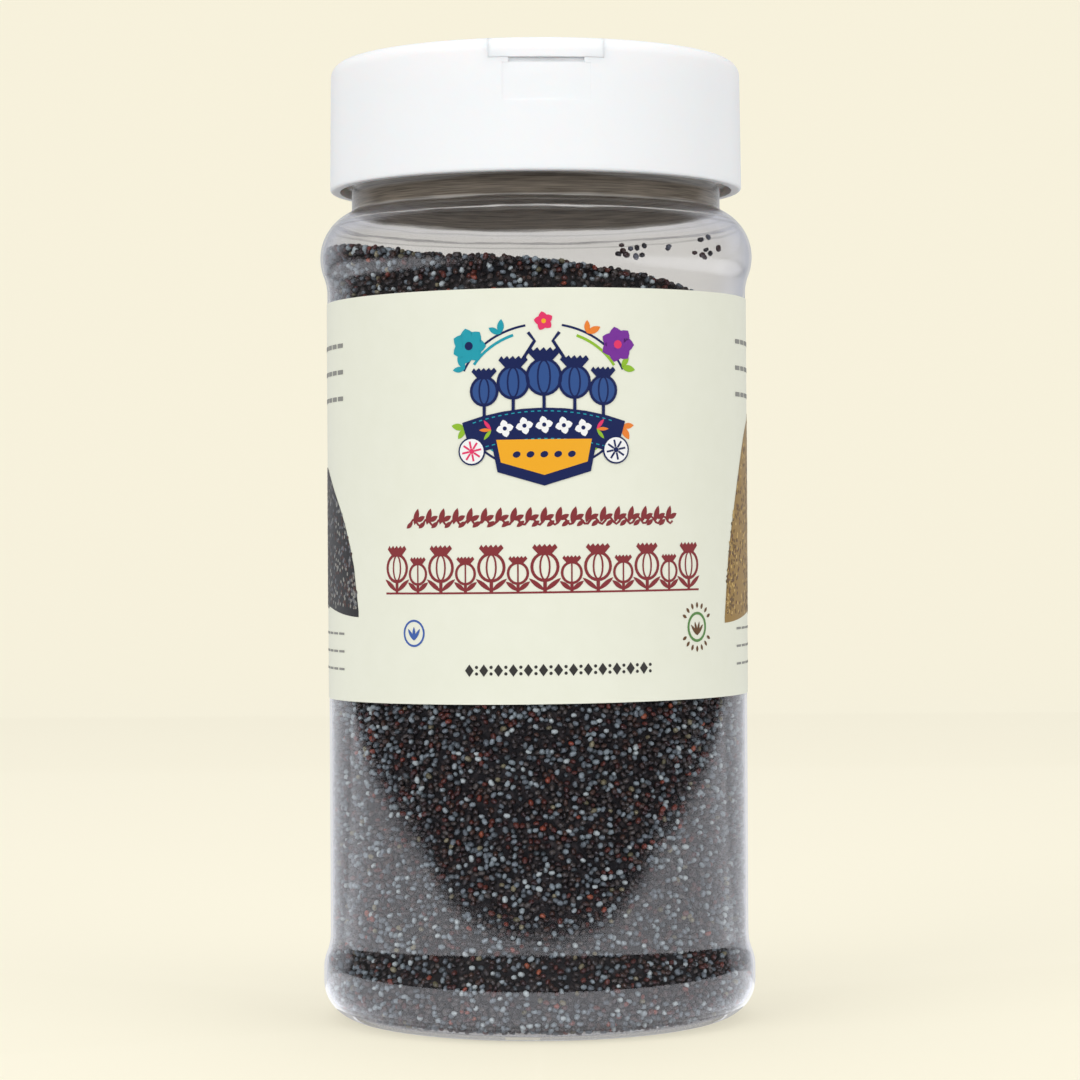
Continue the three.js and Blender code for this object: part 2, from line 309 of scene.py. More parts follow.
def clearPet():
    # Blown PET: IOR 1.575, so each face mirrors 5% head on and nearly all at a glance, with slight waves
    # # round it. The shoulder stretches less in blowing, so it is a little rougher. The neck doesn't stretch
    # at
    # # all, so it is thick. Its smoky brown is painted shade for the dark inside of the cap seen through it;
    # # its streaks, its lighter bore and the pale rings below it are painted highlights.
    headOn = 0.05
    material, add, output = bareMaterial("clearBlownPet")
    place = add("ShaderNodeTexCoord").outputs["Object"]
    height = add("ShaderNodeSeparateXYZ", {"Vector": place}).outputs["Z"]

    def streaksOf(stretch, detail):
        flat = add("ShaderNodeVectorMath", {0: place, 1: stretch}, operation="MULTIPLY")
        return add("ShaderNodeTexNoise", {"Vector": flat, "Scale": 1.0, "Detail": detail})

    facing = add("ShaderNodeLayerWeight", {"Blend": 0.5}).outputs["Facing"]
    glance = add("ShaderNodeMath", {0: facing, 1: 5}, operation="POWER")
    mirror = add("ShaderNodeMath", {0: glance, 1: 1 - headOn, 2: headOn}, operation="MULTIPLY_ADD")
    through = add("ShaderNodeBsdfTransparent", {"Color": (0.935, 0.94, 0.978, 1)})
    streaks = streaksOf((90, 90, 1500), 2)
    waves = add("ShaderNodeBump", {"Height": streaks, "Strength": 0.5, "Distance": 0.007 * mm})
    rough = add("ShaderNodeMapRange", {
        "Value": height, "From Min": 0.112, "From Max": 0.118, "To Min": 0.09, "To Max": 0.2})
    shine = add("ShaderNodeBsdfGlossy", {"Color": (1, 1, 1, 1), "Roughness": rough, "Normal": waves})

    # The noise is about 0.5, so the heights are moved up by half of what it adds
    sway = 0.7
    strayed = add("ShaderNodeMath", {0: streaks, 1: sway * mm, 2: height}, operation="MULTIPLY_ADD")
    low, high = neckPaintedShadeAndHighlights[0][0] + sway / 2, neckPaintedShadeAndHighlights[-1][0] + sway / 2
    share = add("ShaderNodeMapRange", {"Value": strayed, "From Min": low * mm, "From Max": high * mm})
    # Painted shade and painted highlights, laid on by height
    ramp = add("ShaderNodeValToRGB", {"Fac": share})
    stops = ramp.color_ramp.elements
    while len(stops) < len(neckPaintedShadeAndHighlights):
        stops.new(0.5)
    for stop, (z, cover, code) in zip(stops, neckPaintedShadeAndHighlights):
        stop.position = (z - neckPaintedShadeAndHighlights[0][0]) / (high - low)
        stop.color = (*linear(code)[:3], cover)
    # Painted highlight: the bore wall is given a light colour for the light caught in it
    across = add("ShaderNodeVectorMath", {0: place, 1: (1, 1, 0)}, operation="MULTIPLY")
    radius = add("ShaderNodeVectorMath", {0: across}, operation="LENGTH")
    boreHighlightShare = add("ShaderNodeMapRange", {
        "Value": radius, "From Min": jar["neckR"], "From Max": jar["neckR"] - jar["neckWall"]})
    # Painted glints: stretched noise brightens and darkens the painted neck colour in streaks
    glintStreakGain = add("ShaderNodeMapRange", {
        "Value": streaksOf((160, 160, 5200), 3), "From Min": 0.3, "From Max": 0.7,
        "To Min": 0.62, "To Max": 1.4})
    cloud = add("ShaderNodeMix", {0: boreHighlightShare, 6: ramp, 7: linear("#D2C7B8")}, data_type="RGBA")
    colour = add("ShaderNodeVectorMath", {0: cloud, "Scale": glintStreakGain}, operation="SCALE")
    # The painted shade and highlights, shown as diffuse and translucent colour
    lit = add("ShaderNodeBsdfDiffuse", {"Color": colour})
    lent = add("ShaderNodeBsdfTranslucent", {"Color": colour})
    paintedShadeAndHighlight = add("ShaderNodeMixShader", {0: 0.5, 1: lit, 2: lent})
    body = add("ShaderNodeMixShader", {0: ramp.outputs["Alpha"], 1: through, 2: paintedShadeAndHighlight})
    fed(output, {"Surface": add("ShaderNodeMixShader", {0: mirror, 1: body, 2: shine})})
    return material


makeJar()
print("jar made")


seedSet = inMetres(
    topZ=120.3, shelf=0.5, fall=1.2, wallGap=0.03, coreInset=1.2, spacing=0.66, size=1.0, depth=0.6,
    labelBottom=52, labelTop=115.5, labelReach=2,
)
seedSet.update(slope=math.tan(math.radians(6.6)), backHalfDeg=11, wallSegments=180, coreSegments=90,
               wallRows=60, topRings=30, strayColumns=4)
# How the seeds lie on any wall, and what the strays change
seedGrowth = {"Spacing": seedSet["spacing"], "Per Area": 3.0e6, "Size": seedSet["size"], "Size Spread": 0.16,
              "Depth": seedSet["depth"], "Share From": 0.0, "Share To": 1.0, "Seed": 7}
strayGrowth = {"Spacing": seedSet["size"] * 0.75, "Per Area": 1.6e6, "Depth": 0.0, "Seed": 3}

# Where stray seeds cling to the wall: from and to in degrees, height in mm, how tall, and how crowded
strayPatches = [(21, 30, 120.4, 1.9, 0.9), (30, 38, 120.5, 1.7, 0.35), (43, 47, 120.4, 1.6, 0.5),
                (48, 54, 119.9, 2.6, 0.8), (49, 62, 122.6, 2.6, 0.22)]


def innerRadius(z, inset):
    outline = bodyOutline(jar["wall"] + inset, jar["floor"] + inset)[jar["domeSteps"] + 1:]
    for (r0, z0), (r1, z1) in zip(outline, outline[1:]):
        if z0 <= z <= z1 and z1 > z0:
            return r0 + (r1 - r0) * (z - z0) / (z1 - z0)
    return outline[-1][0]


def heapTop(x, y):
    # The seed has settled to a slope, with a low wave, a shoulder at its high side and a fall at its low one
    wave = 0.25 * mm * math.sin(x / (7 * mm) + 1.1) + 0.2 * mm * math.sin(y / (9 * mm) - x / (12 * mm))
    shelf = seedSet["shelf"] * math.exp(-(((x + 27 * mm) / (7 * mm)) ** 2))
    fall = seedSet["fall"] * math.exp(-(((x - 27 * mm) / (6 * mm)) ** 2))
    return seedSet["topZ"] - x * seedSet["slope"] + wave + shelf - fall


def heapMesh(inset, segments):
    # The space that the seed fills: dome, foot, wall up to the slope, and the sloped top
    rows, rings = seedSet["wallRows"], seedSet["topRings"]
    outline = bodyOutline(jar["wall"] + inset, jar["floor"] + inset)
    foot = [p for p in outline if p[1] < jar["beadZ"]]
    low = foot[-1][1]
    edgeR = innerRadius(seedSet["topZ"], inset)
    verts, faces = [(0, 0, foot[0][1])], []
    for j in range(segments):
        a = 2 * math.pi * j / segments
        c, s = math.cos(a), math.sin(a)
        top = heapTop(c * edgeR, s * edgeR) - inset
        column = list(foot[1:])
        for i in range(1, rows + 1):
            z = low + (top - low) * i / rows
            column.append((innerRadius(z, inset), z))
        edge = column[-1][0]
        for i in range(1, rings):
            r = edge * (1 - i / rings)
            column.append((r, heapTop(r * c, r * s) - inset))
        verts += [(r * c, r * s, z) for r, z in column]
        length = len(column)
    verts.append((0, 0, heapTop(0, 0) - inset))
    last = len(verts) - 1
    for j in range(segments):
        here, there = 1 + j * length, 1 + ((j + 1) % segments) * length
        faces.append((0, there, here))
        faces.append((here + length - 1, there + length - 1, last))
        for i in range(length - 1):
            faces.append((here + i, there + i, there + i + 1, here + i + 1))
    return meshOf(verts, faces)


def grainMesh():
    # A poppy seed is a blunt kidney, nearly a ball, with one side drawn in
    rings, sides = 3, 6
    verts = [(0, 0, -0.5)]
    for i in range(1, rings + 1):
        lat = math.pi * i / (rings + 1) - math.pi / 2
        for j in range(sides):
            lon = 2 * math.pi * (j + 0.5 * (i % 2)) / sides
            verts.append((0.5 * math.cos(lat) * math.cos(lon), 0.5 * math.cos(lat) * math.sin(lon),
                          0.5 * math.sin(lat)))
    verts.append((0, 0, 0.5))
    faces = []
    for j in range(sides):
        k = (j + 1) % sides
        faces.append((0, 1 + k, 1 + j))
        faces.append((len(verts) - 1, 1 + (rings - 1) * sides + j, 1 + (rings - 1) * sides + k))
        for i in range(rings - 1):
            a, b = 1 + i * sides, 1 + (i + 1) * sides
            if i % 2 == 0:
                faces += [(a + j, a + k, b + j), (a + k, b + k, b + j)]
            else:
                faces += [(a + j, a + k, b + k), (a + j, b + k, b + j)]
    shaped = []
    for x, y, z in verts:
        dent = 0.1 * math.exp(-((z / 0.28) ** 2)) * max(0, x / 0.5)
        shaped.append((x * 0.9 - dent, y * 0.94, z * 1.06))
    return meshOf(shaped, faces)


# Coats in three tones each, and the share of all the seed that wears them
seedCoats = {
    "seed_slate": (("#737B7B", "#838D8A", "#606767"), 0.15),
    "seed_lead": (("#575E5E", "#646B6A", "#49504F"), 0.12),
    "seed_graphite": (("#443D36", "#4F4840", "#38322D"), 0.16),
    "seed_charcoal": (("#2D2621", "#382F28", "#251F1C"), 0.17),
    "seed_umber": (("#3C2920", "#32201C", "#493428"), 0.16),
    "seed_ash": (("#9AA39E", "#B5BDB4", "#87918F"), 0.105),
    "seed_russet": (("#51281E", "#5D2E21", "#412019"), 0.095),
    "seed_straw": (("#756C4F", "#867E5F", "#635D41"), 0.025),
    "seed_rust": (("#89422C", "#753624", "#995134"), 0.015),
}


def seedCoat(prefix, codes):
    # Ripe poppy seed coat: a waxy bloom over a netted skin, so half dull with a soft point of light
    return {"Coat " + "ABC"[i]: newMaterial(f"{prefix}Coat{i}", {
        "Base Color": linear(code), "Roughness": 0.33, "IOR": 1.6})[0] for i, code in enumerate(codes)}


def seedTree():
    # Scatters seeds over a surface, and keeps those whose random share lies in one family's range
    numbers = ("Spacing", "Per Area", "Size", "Size Spread", "Depth", "Share From", "Share To")
    tree, add, given = newTree("seedsOnWall", {
        "Grain": "Object", **dict.fromkeys(numbers, "Float"), "Seed": "Int",
        **dict.fromkeys(("Coat A", "Coat B", "Coat C"), "Material")})

    def shifted(step):
        return add("ShaderNodeMath", {0: given["Seed"], 1: step})

    def between(low, high, step):
        return add("FunctionNodeRandomValue", {2: low, 3: high, "Seed": shifted(step)})

    # A surface may carry its own crowding, 0 to 1
    named = add("GeometryNodeInputNamedAttribute", {"Name": "crowding"}, data_type="FLOAT").outputs
    crowding = add("GeometryNodeSwitch", {
        "Switch": named["Exists"], "False": 1.0, "True": named["Attribute"]}, input_type="FLOAT")
    spread = add("GeometryNodeDistributePointsOnFaces", {
        "Mesh": given["Geometry"], "Distance Min": given["Spacing"], "Density Factor": crowding,
        "Density Max": given["Per Area"], "Seed": given["Seed"]}, distribute_method="POISSON")
    share = between(0.0, 1.0, 1)
    above = add("FunctionNodeCompare", {0: share, 1: given["Share From"]}, operation="GREATER_EQUAL")
    below = add("FunctionNodeCompare", {0: share, 1: given["Share To"]}, operation="LESS_THAN")
    chosen = add("FunctionNodeBooleanMath", {0: above, 1: below})
    back = add("ShaderNodeMath", {0: between(0.0, -1.0, 2), 1: given["Depth"]}, operation="MULTIPLY")
    offset = add("ShaderNodeVectorMath", {0: spread.outputs["Normal"], "Scale": back}, operation="SCALE")
    sunk = add("GeometryNodeSetPosition", {"Geometry": spread, "Offset": offset})
    turn = add("FunctionNodeRandomValue", {
        0: (0, 0, 0), 1: (6.283, 6.283, 6.283), "Seed": shifted(3)}, data_type="FLOAT_VECTOR")
    small = add("ShaderNodeMath", {0: 1.0, 1: given["Size Spread"]}, operation="SUBTRACT")
    large = add("ShaderNodeMath", {0: 1.0, 1: given["Size Spread"]}, operation="ADD")
    scale = add("ShaderNodeMath", {0: between(small, large, 4), 1: given["Size"]}, operation="MULTIPLY")
    shape = add("GeometryNodeObjectInfo", {"Object": given["Grain"]}).outputs["Geometry"]
    placed = add("GeometryNodeInstanceOnPoints", {
        "Points": sunk, "Selection": chosen, "Instance": shape, "Rotation": turn, "Scale": scale})
    tone = add("GeometryNodeCaptureAttribute", {"Geometry": placed}, domain="INSTANCE")
    tone.capture_items.new("FLOAT", "Tone")
    fed(tone, {"Tone": between(0.0, 1.0, 5)})
    real = add("GeometryNodeRealizeInstances", {"Geometry": tone})
    soft = add("GeometryNodeSetShadeSmooth", {"Geometry": real})
    coated = add("GeometryNodeSetMaterial", {"Geometry": soft, "Material": given["Coat A"]})
    for label, floor in (("Coat B", 0.4), ("Coat C", 0.7)):
        picked = add("FunctionNodeCompare", {0: tone.outputs["Tone"], 1: floor}, operation="GREATER_THAN")
        coated = add("GeometryNodeSetMaterial", {
            "Geometry": coated, "Selection": picked, "Material": given[label]})
    add("NodeGroupOutput", {"Geometry": coated})
    return tree


def behindLabel(face):
    c = face.calc_center_median()
    reach = seedSet["labelReach"]
    level = seedSet["labelBottom"] + reach < c.z < seedSet["labelTop"] - reach
    atBack = c.y > 0 and abs(math.degrees(math.atan2(c.x, c.y))) < seedSet["backHalfDeg"]
    onWall = math.hypot(c.x, c.y) > jar["footOuter"]
    return level and onWall and not atBack


def makeSeed():
    core = addObject("seed_core", heapMesh(seedSet["coreInset"], seedSet["coreSegments"]), coreMaterial())
    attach(core, "jar")
    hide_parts("poppy_seed_fill")

    half = seedSet["size"] / 2 + seedSet["wallGap"]
    wall = addObject("seed_wall", heapMesh(half, seedSet["wallSegments"]))
    shell = bmesh.new()
    shell.from_mesh(wall.data)
    hidden = [f for f in shell.faces if behindLabel(f)]
    bmesh.ops.delete(shell, geom=hidden, context="FACES")
    shell.to_mesh(wall.data)
    shell.free()
    grain = addObject("grain", grainMesh())
    tree = seedTree()
    low = 0.0
    for name, (codes, share) in seedCoats.items():
        piece = grown(name, wall, tree, {
            **seedGrowth, **seedCoat(name, codes), "Grain": grain, "Share From": low,
            "Share To": low + share})
        low += share
        print(name, len(piece.data.polygons), "faces")
        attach(piece, "jar")

    strayWall = addObject("strayWall", strayMesh())
    piece = grown("seed_stray", strayWall, tree, {
        **seedGrowth, **strayGrowth, "Grain": grain, **seedCoat("stray", ("#2B2726", "#3F2B25", "#55565A"))})
    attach(piece, "jar")
    for helper in (wall, strayWall, grain):
        bpy.data.objects.remove(helper)


def strayMesh():
    # The patches of wall above the low side of the heap that a few seeds cling to
    columns = seedSet["strayColumns"]
    verts, faces = [], []
    for fromDeg, toDeg, base, height, _ in strayPatches:
        first = len(verts)
        for i in range(columns + 1):
            angle = math.radians(fromDeg + (toDeg - fromDeg) * i / columns)
            for z in (base * mm, (base + height) * mm):
                r = innerRadius(z, seedSet["size"] * 0.46)
                verts.append((r * math.sin(angle), -r * math.cos(angle), z))
        faces += [(a, a + 2, a + 3, a + 1) for a in range(first, first + 2 * columns, 2)]
    mesh = meshOf(verts, faces)
    crowding = mesh.attributes.new("crowding", "FLOAT", "FACE")
    for i, value in enumerate(crowding.data):
        value.value = strayPatches[i // columns][4]
    return mesh


def coreMaterial():
    # What shows in the gaps between the outer seeds: more seed, in their shade. This is painted shade: a
    # sheet of
    # # dark seed tones in cells, each cell darker towards its rim
    material, add, shader = newMaterial("seedInShade", {"Roughness": 0.8})
    place = add("ShaderNodeTexCoord").outputs["Object"]
    cells = add("ShaderNodeTexVoronoi", {"Vector": place, "Scale": 1 / seedSet["size"]}).outputs
    tone = add("ShaderNodeSeparateColor", {0: cells["Color"]})
    coat = add("ShaderNodeMix", {0: tone, 6: linear("#1C120E"), 7: linear("#3B332F")}, data_type="RGBA")
    # Painted shade: each cell goes from its seed tone at the middle to near black at its rim
    crown = add("ShaderNodeMapRange", {
        "Value": cells["Distance"], "From Min": 0.2, "From Max": 0.6, "To Min": 1.0, "To Max": 0.05})
    shaded = add("ShaderNodeMix", {0: crown, 6: linear("#090605"), 7: coat}, data_type="RGBA")
    fed(shader, {"Base Color": shaded})
    return material


makeSeed()
print("seed made")


labelSet = inMetres(bottom=52, height=63.5, gap=0.03, thickness=0.09, bareWidth=10.4, lift=0.012, layer=0.016,
                    inkThickness=0.01, foldEvery=1.4, printReach=100)
labelSet.update(printTurn=math.radians(1.9), crooked=0.0078, columns=240)
labelSet["outerR"] = jar["panelR"] + labelSet["gap"] + labelSet["thickness"]


def onLabel(r, angle, v):
    # angle is from the front, towards +X; the sheet was put on a little crooked
    x, y = r * math.sin(angle), -r * math.cos(angle)
    return (x, y, labelSet["bottom"] + v + labelSet["crooked"] * x)


def makeLabelSheet():
    inner, outer = labelSet["outerR"] - labelSet["thickness"], labelSet["outerR"]
    half = math.pi - labelSet["bareWidth"] / outer / 2
    columns, height = labelSet["columns"], labelSet["height"]
    corners = ((inner, 0), (outer, 0), (outer, height), (inner, height))
    sections = [[onLabel(r, half * (2 * i / columns - 1), v) for r, v in corners] for i in range(columns + 1)]
    piece = addObject("label_sheet", barMesh(sections), coatedPaper())
    piece.data.set_sharp_from_angle(angle=math.radians(40))
    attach(piece, "jar")
    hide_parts("label")


def coatedPaper():
    # Semi-gloss coated paper, 90 g/m2: an even cream with a faint cloud of fibre, and a soft sheen
    material, add, shader = newMaterial("coatedPaper", {"Roughness": 0.46, "IOR": 1.48})
    place = add("ShaderNodeTexCoord").outputs["Object"]
    cloud = add("ShaderNodeTexNoise", {"Vector": place, "Scale": 260, "Detail": 4})
    fibre = add("ShaderNodeTexNoise", {"Vector": place, "Scale": 2400, "Detail": 2})
    tint = add("ShaderNodeMix", {0: cloud, 6: linear("#F1F2E1"), 7: linear("#ECEDDA")}, data_type="RGBA")
    bump = add("ShaderNodeBump", {"Height": fibre, "Strength": 0.12, "Distance": 0.04 * mm})
    fed(shader, {"Base Color": tint, "Normal": bump})
    return material


inks = {
    "navyInk": "#15235A", "blueInk": "#2F5391", "tealInk": "#169FB0", "pinkInk": "#E93268",
    "purpleInk": "#7B2A9C", "amberInk": "#F6AE1A", "limeInk": "#93C02A", "orangeInk": "#F0832A",
    "whiteInk": "#F7F7F5", "maroonInk": "#8B3236", "leafInk": "#5E8C4B", "brownInk": "#6B4A2C",
    "signInk": "#3F62AE", "blackInk": "#3A3836", "greyInk": "#8D8C85",
    "seedInk": "#232226", "seedLightInk": "#66686E", "seedRustInk": "#4A302B",
    "strawInk": "#9C7A38", "strawLightInk": "#C9A862", "strawDarkInk": "#6E5324",
}
inkNames = list(inks)
printed = []


def lay(ink, layer, *outlines):
    # Each outline is a list of points in millimetres: along the label from the print's middle, and up it
    printed.extend((inkNames.index(ink), layer, outline) for outline in outlines)


def moved(points, u=0.0, v=0.0, size=1.0, turn=0.0):
    c, s = math.cos(math.radians(turn)) * size, math.sin(math.radians(turn)) * size
    return [(u + x * c - y * s, v + x * s + y * c) for x, y in points]


def oval(rx, ry, fromDeg=0, toDeg=360, steps=24):
    count = steps if toDeg - fromDeg >= 360 else steps + 1
    turns = [math.radians(fromDeg + (toDeg - fromDeg) * i / steps) for i in range(count)]
    return [(rx * math.cos(a), ry * math.sin(a)) for a in turns]


def stroke(points, width, closed=False):
    # A line of even width, as four-cornered pieces that share their ends
    count = len(points)
    left, right = [], []
    for i, (x, y) in enumerate(points):
        before = points[i - 1] if i or closed else points[i]
        after = points[(i + 1) % count] if i < count - 1 or closed else points[i]
        dx, dy = after[0] - before[0], after[1] - before[1]
        reach = width / 2 / max(math.hypot(dx, dy), 1e-9)
        left.append((x - dy * reach, y + dx * reach))
        right.append((x + dy * reach, y - dx * reach))
    last = count if closed else count - 1
    return [[right[i], right[(i + 1) % count], left[(i + 1) % count], left[i]] for i in range(last)]


def leaf(length, width, steps=7):
    # A pointed leaf that grows up from the origin
    side = [(width / 2 * math.sin(math.pi * i / steps) ** 0.8, length * i / steps) for i in range(steps + 1)]
    return side + [(-x, y) for x, y in reversed(side[1:-1])]


def crown(width, height, points=5):
    # The ridged cap on a seed head, seen from the side
    rim = []
    for i in range(points):
        middle = (i - (points - 1) / 2) / points * 2
        rim += [(width / 2 * (middle + 0.8 / points), height * 0.72), (width / 2 * middle, height)]
    rim = sorted(rim + [(-width / 2, height * 0.62)], key=lambda p: -p[0])
    return [(-width * 0.28, 0), (width * 0.28, 0), (width / 2, height * 0.62)] + rim


def layLine(ink, layer, points, width, closed=False):
    lay(ink, layer, *stroke(points, width, closed))


def layLeaf(ink, layer, length, width, u, v, turn=0.0):
    lay(ink, layer, moved(leaf(length, width), u, v, turn=turn))


def layOval(ink, layer, rx, ry, u, v, steps=24, turn=0.0):
    lay(ink, layer, moved(oval(rx, ry, steps=steps), u, v, turn=turn))


def seedHead(ink, layer, u, v, height, line, filled=None, ribs=2):
    # Stands on v: a stem, a ribbed round pod and its crown
    podY, podR = v + 0.52 * height, 0.27 * height
    if filled:
        layOval(filled, layer - 1, podR, podR * 1.05, u, podY)
    layLine(ink, layer, moved(oval(podR, podR * 1.05), u, podY), line, closed=True)
    for k in range(ribs):
        bow = podR * (2 * k - ribs + 1) / (ribs + 1) * 1.1
        layLine(ink, layer, moved(oval(bow, podR * 0.98, -90, 90, 8), u, podY), line * 0.6)
    lay(ink, layer, moved(crown(0.52 * height, 0.2 * height), u, podY + podR))
    layLine(ink, layer, [(u, v), (u + 0.01, podY - podR)], line * 1.2)


def blossom(ink, layer, u, v, size, petals, heart):
    for k in range(petals):
        layLeaf(ink, layer, size, size * 0.837, u, v, 360 / petals * k + 12)
    layOval(heart, layer + 1, size * 0.24, size * 0.24, u, v, steps=12)


def drawRoundel(u, v):
    # A wreath round five seed heads on a swag and a ribbon
    ringU, ringV = 13.4, 11.2
    for ink, inset, width, steps, spans in (
            ("navyInk", 0, 0.34, 18, ((102, 158), (202, 244), (296, 338), (22, 78))),
            ("tealInk", 0.95, 0.42, 14, ((112, 150), (206, 240))),
            ("limeInk", 0.95, 0.42, 14, ((28, 66), (300, 334)))):
        for start, stop in spans:
            layLine(ink, 2, moved(oval(ringU - inset, ringV - inset, start, stop, steps), u, v), width)
    sprigs = [(120, "tealInk"), (138, "orangeInk"), (156, "tealInk"), (204, "limeInk"), (222, "tealInk"),
              (318, "limeInk"), (336, "orangeInk"), (24, "limeInk"), (42, "tealInk"), (60, "orangeInk")]
    for angle, ink in sprigs:
        a = math.radians(angle)
        foot = (u + ringU * math.cos(a), v + ringV * math.sin(a))
        layLeaf(ink, 3, 2.3, 1.05, *foot, turn=angle - 125)
        layLeaf(ink, 3, 2.0, 0.9, *foot, turn=angle - 60)
    for side, ink, heart in ((-1, "tealInk", "navyInk"), (1, "purpleInk", "pinkInk")):
        blossom(ink, 4, u + side * 11.6, v + 8.0, 2.75, 7, heart)
    blossom("pinkInk", 4, u, v + 11.6, 1.5, 5, "amberInk")
    for side in (-1, 1):
        layLine("navyInk", 3, [(u + side * x, v + y) for x, y in ((3.6, 5.2), (1.4, 8.6), (2.4, 9.9))], 0.5)
    for place, height in ((-9.2, 7.6), (-4.7, 8.6), (0, 9.6), (4.7, 8.6), (9.2, 7.6)):
        foot = v - 1.9 - 0.012 * place ** 2
        seedHead("navyInk", 6, u + place, foot, height, 0.42, filled="blueInk")

    def onSwag(x, rise=0.0):
        return (u + x, v - 4.2 - 0.014 * x * x + rise)

    layLine("navyInk", 7, [onSwag(x) for x in range(-12, 13, 3)], 5.2)
    for edge in (2.1, -2.1):
        for i in range(-11, 11):
            layLine("tealInk", 8, [onSwag(i, edge), onSwag(i + 0.5, edge)], 0.16)
    for place in (-6, -3, 0, 3, 6):
        blossom("whiteInk", 8, *onSwag(place), 1.35, 4, "navyInk")
    for side in (-1, 1):
        for turn, ink in ((38, "pinkInk"), (90, "orangeInk"), (142, "limeInk")):
            layLeaf(ink, 8, 1.9, 0.55, u + side * 8.1, v - 4.9, -side * turn)
    ribbon = [(-7.4, -7.1), (7.4, -7.1), (6.7, -10.6), (0, -12.6), (-6.7, -10.6)]
    lay("navyInk", 7, moved(ribbon, u, v, 1.07))
    lay("amberInk", 9, moved(ribbon, u, v + 0.62, 0.99))
    for place in (-4.2, -2.1, 0, 2.1, 4.2):
        layOval("navyInk", 10, 0.62, 0.48, u + place, v - 8.7, steps=10, turn=20)
    for x, ink in ((u - 11.2, "pinkInk"), (u + 11.2, "navyInk")):
        y = v - 8.1
        layOval("navyInk", 8, 2.15, 2.15, x, y)
        layOval("whiteInk", 9, 1.9, 1.9, x, y)
        for k in range(8):
            a = math.pi / 4 * k + 0.2
            layLine(ink, 10, [(x + r * math.cos(a), y + r * math.sin(a)) for r in (0.45, 1.55)], 0.3)
        layOval(ink, 10, 0.42, 0.42, x, y, steps=12)


def drawBorders():
    # Maroon rows under the roundel: a row of leaves, and a frieze of seed heads
    ink = "maroonInk"
    vine = [(0.23 * k - 21.9, 27.9 + 0.55 * math.sin(0.6 * k)) for k in range(0, 190, 2)]
    layLine(ink, 2, vine, 0.34)
    for k in range(-9, 10):
        u = k * 2.3 - 0.3
        layLeaf(ink, 2, 2.6, 0.95, u - 0.2, 27.6, -16)
        layLeaf(ink, 2, 1.7, 0.8, u + 0.25, 28.1, -62)
        layLeaf(ink, 2, 1.5, 0.7, u - 0.5, 28.0, 128)
    for k in range(-6, 7):
        u = k * 4.12
        height, line, ribs = (5.6, 0.4, 1) if k % 2 else (7.4, 0.46, 2)
        seedHead(ink, 2, u, 17.1, height, line, ribs=ribs)
        for side in (-1, 1):
            layLeaf(ink, 2, height * 0.42, 0.72, u, 17.3, -side * 52)
    layLine(ink, 2, [(-27.0, 17.05), (0, 17.05), (27.0, 17.05)], 0.3)


def drawSigns():
    # Small marks below: two ringed sprigs and a rule of lozenges
    layLine("signInk", 2, moved(oval(1.85, 1.95), -21.4, 10.9), 0.32, closed=True)
    for turn in (-32, 0, 32):
        layLeaf("signInk", 2, 2.1, 0.55, -21.4, 9.8, turn)
    layLine("leafInk", 2, moved(oval(2.0, 2.15), 26.6, 11.2), 0.42, closed=True)
    for turn in (-40, -14, 14, 40):
        layLeaf("brownInk", 2, 2.2, 0.5, 26.6, 9.9, turn)
    for turn in [turn + base for turn in range(-60, 61, 20) for base in (0, 180)]:
        a = math.radians(turn)
        layLeaf("brownInk", 2, 1.0, 0.5, 26.6 + 2.75 * math.sin(a), 11.2 + 2.9 * math.cos(a), -turn)
    lozenge = [(-0.7, 0), (0, -0.95), (0.7, 0), (0, 0.95)]
    for u in [2.3 * k - 12.4 for k in range(13)]:
        lay("blackInk", 2, moved(lozenge, u + 0.6, 5.2))
        for rise in (-0.5, 0.5):
            layOval("blackInk", 2, 0.26, 0.26, u + 1.75, 5.2 + rise, steps=8)


def drawSidePanels():
    # A heap of seed printed on each side, dark on the left and golden on the right, with plain rules round it
    reach, steps = 19, 28
    for side, heap, tones, inner, low, high in (
            (-1, "seedInk", ("seedLightInk", "seedRustInk", "greyInk"), 34.2, 14.2, 34.5),
            (1, "strawInk", ("strawLightInk", "strawDarkInk", "brownInk"), 34.4, 12.5, 43)):
        middle = side * (inner + reach)

        def rise(t):
            return (high - low) * (1 - abs(t) ** 2.2) ** 0.72

        rim = []
        for t in [i / steps * 2 - 1 for i in range(steps + 1)]:
            height = 2.5 * (1 - t * t) ** 0.2 + rise(t) * (1 + 0.02 * math.sin(9 * t))
            rim.append((middle + reach * t, low + 0.9 * math.cos(3 * t), low + height))
        for (x0, foot0, top0), (x1, foot1, top1) in zip(rim, rim[1:]):
            lay(heap, 2, [(x0, foot0), (x1, foot1), (x1, top1), (x0, top0)])
        grains = random.Random(5)
        for _ in range(900):
            t = grains.uniform(-0.97, 0.97)
            spot = (middle + reach * t, grains.uniform(low + 0.4, low + 2.0 + rise(t)))
            layOval(grains.choice(tones), 3, 0.34, 0.27, *spot, steps=6, turn=grains.uniform(0, 180))
        for row, long in ((56.2, 20), (52.0, 23), (47.8, 18), (10.6, 23), (7.8, 17), (5.0, 20)):
            for k in range(int(long / 2.9)):
                u = side * (39.2 + 2.9 * k)
                layLine("greyInk", 2, [(u, row), (u + side * 2.3, row)], 0.7 if row > 40 else 0.36)
    for u, top in ((77, 55), (-97, 30)):
        layLine("greyInk", 2, [(u, 8), (u + 20, 8), (u + 20, top), (u, top)], 0.3, closed=True)


